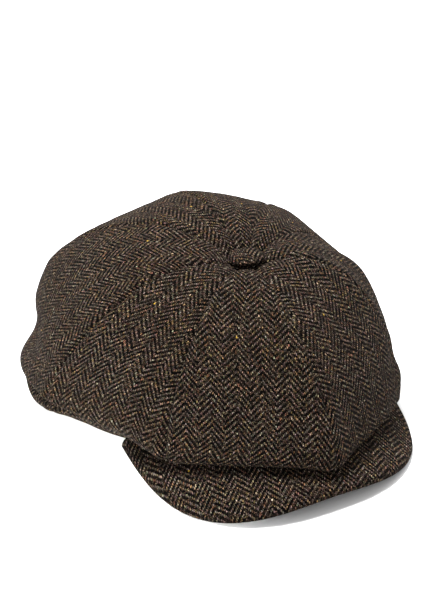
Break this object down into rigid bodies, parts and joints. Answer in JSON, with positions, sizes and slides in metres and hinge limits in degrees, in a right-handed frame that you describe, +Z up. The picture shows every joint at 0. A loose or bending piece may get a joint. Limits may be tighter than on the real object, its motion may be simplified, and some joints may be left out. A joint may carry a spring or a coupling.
{
  "type": "newsboy cap",
  "caption": "Soft round tweed cap with a panelled crown gathered under a covered button, a narrow headband, a lining and a short arched visor.",
  "frame": {"origin": "middle of the cap's bounding box in plan, at the surface the cap lies on", "axes": "+Z up, -Y the way the visor points, +X the wearer's left"},
  "size_m": [0.2084, 0.257, 0.1093],
  "materials": {
    "tweed": "dark brown herringbone wool tweed, matte",
    "lining": "dark brown satin lining",
    "sweatband": "black-brown cotton twill tape",
    "stiffener": "buckram, raw",
    "visor_board": "moulded polyethylene visor board",
    "button_metal": "stamped",
    "thread": "dark brown sewing thread",
    "label": "blank woven tape"
  },
  "bodies": {
    "root": {"band_stiffener": "stiffener", "button_back": "button_metal", "button_cover": "tweed", "button_shell": "button_metal", "button_thread": "thread", "crown_panel_back_left": "tweed", "crown_panel_back_right": "tweed", "crown_panel_front_left": "tweed", "crown_panel_front_right": "tweed", "crown_panel_side_back_left": "tweed", "crown_panel_side_back_right": "tweed", "crown_panel_side_front_left": "tweed", "crown_panel_side_front_right": "tweed", "front_tacks": "thread", "headband": "tweed", "lining_panel_back_left": "lining", "lining_panel_back_right": "lining", "lining_panel_front_left": "lining", "lining_panel_front_right": "lining", "lining_panel_side_back_left": "lining", "lining_panel_side_back_right": "lining", "lining_panel_side_front_left": "lining", "lining_panel_side_front_right": "lining", "size_label": "label", "sweatband": "sweatband", "sweatband_stitching": "thread", "visor_board": "visor_board", "visor_top_cover": "tweed", "visor_under_cover": "tweed"}
  },
  "joints": []
}
